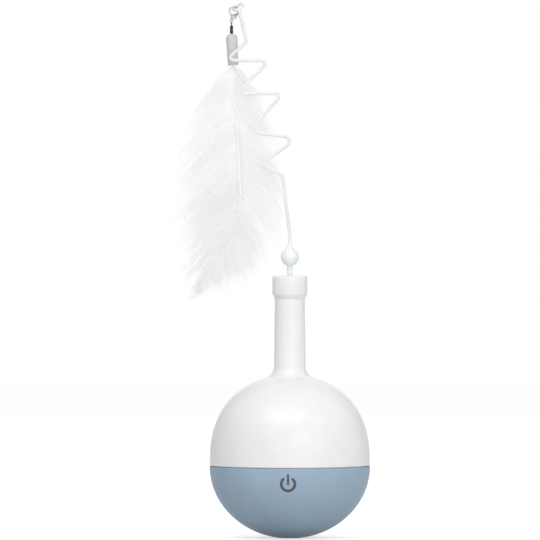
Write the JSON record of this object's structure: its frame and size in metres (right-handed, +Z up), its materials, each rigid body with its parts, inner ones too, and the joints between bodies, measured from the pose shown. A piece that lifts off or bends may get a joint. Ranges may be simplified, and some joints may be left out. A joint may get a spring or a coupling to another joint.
{
  "type": "self-rotating cat toy ball",
  "caption": "Bottle-shaped tumbler ball with a blue base, white dome and neck, and a zigzag teaser stem carrying a white feather lure; an inner motor swings a weight.",
  "frame": {"origin": "centre of the small flat foot under the ball", "axes": "+Z up along the neck; -Y is the front with the power symbol; +X to the right seen from the front"},
  "size_m": [0.1021, 0.085, 0.2833],
  "materials": {
    "white_shell": "gloss",
    "blue_shell": "satin",
    "symbol_ink": "satin",
    "copper_foil": "satin",
    "bare_metal": "satin",
    "black_plastic": "matte",
    "board_green": "satin",
    "screw_steel": "satin",
    "iron_weight": "matte",
    "inner_plastic": "matte",
    "bronze": "satin",
    "shaft_steel": "polished",
    "gear_plastic": "satin",
    "magnet": "matte",
    "copper_winding": "satin",
    "battery_sleeve": "gloss",
    "lead_cover": "satin",
    "stem_plastic": "satin",
    "nickel": "polished",
    "black_nickel": "gloss",
    "cap_grey": "satin",
    "feather": "matte",
    "sleeve_plastic": "satin"
  },
  "bodies": {
    "bottle": {"lower_shell": "blue_shell", "upper_shell": "white_shell", "neck_collar": "white_shell", "power_symbol": "symbol_ink", "touch_foil": "copper_foil", "usb_socket": "bare_metal", "usb_tongue": "black_plastic", "circuit_board": "board_green", "board_components": "black_plastic", "board_screws": "screw_steel", "ballast_weight": "iron_weight", "ballast_screws": "screw_steel", "chassis": "inner_plastic", "chassis_screws": "screw_steel", "output_bush": "bronze", "idler_axle": "shaft_steel", "gear_deck": "inner_plastic", "deck_screws": "screw_steel", "motor_can": "bare_metal", "motor_magnets": "magnet", "motor_end_cap": "black_plastic", "motor_screws": "screw_steel", "battery_cell": "battery_sleeve", "battery_clamp": "inner_plastic", "clamp_screws": "screw_steel", "battery_leads": "lead_cover", "motor_leads": "lead_cover", "touch_lead": "lead_cover"},
    "weight_rotor": {"output_shaft": "shaft_steel", "output_gear": "gear_plastic", "swing_arm": "inner_plastic", "swing_weight": "iron_weight", "weight_screws": "screw_steel", "hub_screw": "screw_steel"},
    "idler": {"idler_gear": "gear_plastic"},
    "motor_rotor": {"motor_armature": "copper_winding", "motor_shaft": "shaft_steel", "motor_pinion": "bronze"},
    "sleeve": {"stem_sleeve": "sleeve_plastic", "sleeve_clip": "screw_steel"},
    "stem": {"stem_bulb": "stem_plastic", "zigzag_stem": "stem_plastic"},
    "clasp": {"clasp_body": "nickel", "clasp_pin": "nickel", "swivel_eye": "black_nickel"},
    "lever": {"clasp_lever": "nickel"},
    "lure": {"swivel_barrel": "black_nickel", "feather_cap": "cap_grey", "feather_quills": "feather", "feather_plume": "feather"}
  },
  "joints": [
    {"name": "weight_spin", "type": "hinge", "parent": "bottle", "child": "weight_rotor", "pos_m": [0, 0, 0.02], "axis": [0, 0, 1], "continuous": true},
    {"name": "idler_spin", "type": "hinge", "parent": "bottle", "child": "idler", "pos_m": [0.015, 0, 0.03], "axis": [0, 0, 1], "continuous": true},
    {"name": "motor_spin", "type": "hinge", "parent": "bottle", "child": "motor_rotor", "pos_m": [0, 0, 0.045], "axis": [0, 0, 1], "continuous": true},
    {"name": "stem_turn", "type": "hinge", "parent": "bottle", "child": "sleeve", "pos_m": [0, 0, 0.13], "axis": [0, 0, 1], "continuous": true},
    {"name": "stem_pull", "type": "slide", "parent": "sleeve", "child": "stem", "axis": [0, 0, 1], "range_m": [0, 0.01]},
    {"name": "lure_swing", "type": "hinge", "parent": "stem", "child": "clasp", "pos_m": [-0.0298, 0.00646, 0.27963], "axis": [0, 1, 0], "range_deg": [-4, 60]},
    {"name": "clasp_open", "type": "hinge", "parent": "clasp", "child": "lever", "pos_m": [-0.0284, 0.00646, 0.27686], "axis": [0, -1, 0], "range_deg": [0, 20], "stiffness_Nm_per_rad": 0.002},
    {"name": "swivel_turn", "type": "hinge", "parent": "clasp", "child": "lure", "pos_m": [-0.03105, 0.00646, 0.268], "axis": [0, 0, 1], "range_deg": [-4, 35]}
  ],
  "couplings": [
    {"joint": "idler_spin", "follows": "weight_spin", "ratio": -3.2857},
    {"joint": "motor_spin", "follows": "weight_spin", "ratio": 16.429}
  ]
}
